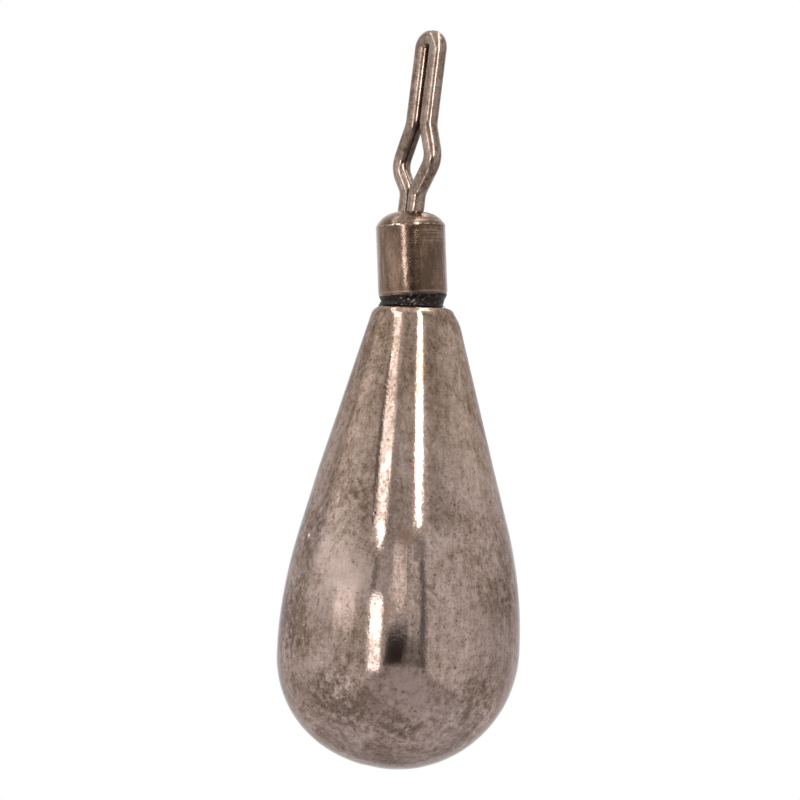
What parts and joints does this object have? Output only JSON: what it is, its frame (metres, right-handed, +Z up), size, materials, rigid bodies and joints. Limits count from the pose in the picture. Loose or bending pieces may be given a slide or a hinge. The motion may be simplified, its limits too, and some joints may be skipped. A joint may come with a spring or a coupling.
{
  "type": "fishing sinker",
  "caption": "Teardrop fishing weight with a barrel swivel and a bent-wire clip that pinches the line in a narrow slot above its eye.",
  "frame": {"origin": "the middle of the line clip's eye, where the line passes through", "axes": "+Z up, from the weight towards the clip, parallel to the weight's axis; the picture looks along +Y with +X to its right"},
  "size_m": [0.0097, 0.0096, 0.0297],
  "materials": {
    "clip_wire": "dull drawn wire, a little tarnished",
    "barrel_metal": "turned brass with a dark brown-grey plating",
    "black_glue": "semi-gloss black adhesive",
    "weight_metal": "polished sintered metal with brown-grey mottling"
  },
  "bodies": {
    "clip": {"line_clip": "clip_wire"},
    "sinker": {"swivel_barrel": "barrel_metal", "glue": "black_glue", "weight": "weight_metal"}
  },
  "joints": [
    {"name": "swivel", "type": "hinge", "parent": "clip", "child": "sinker", "pos_m": [-0.00016, 0, -0.00214], "axis": [-0.0854, 0, 0.9963], "continuous": true}
  ]
}
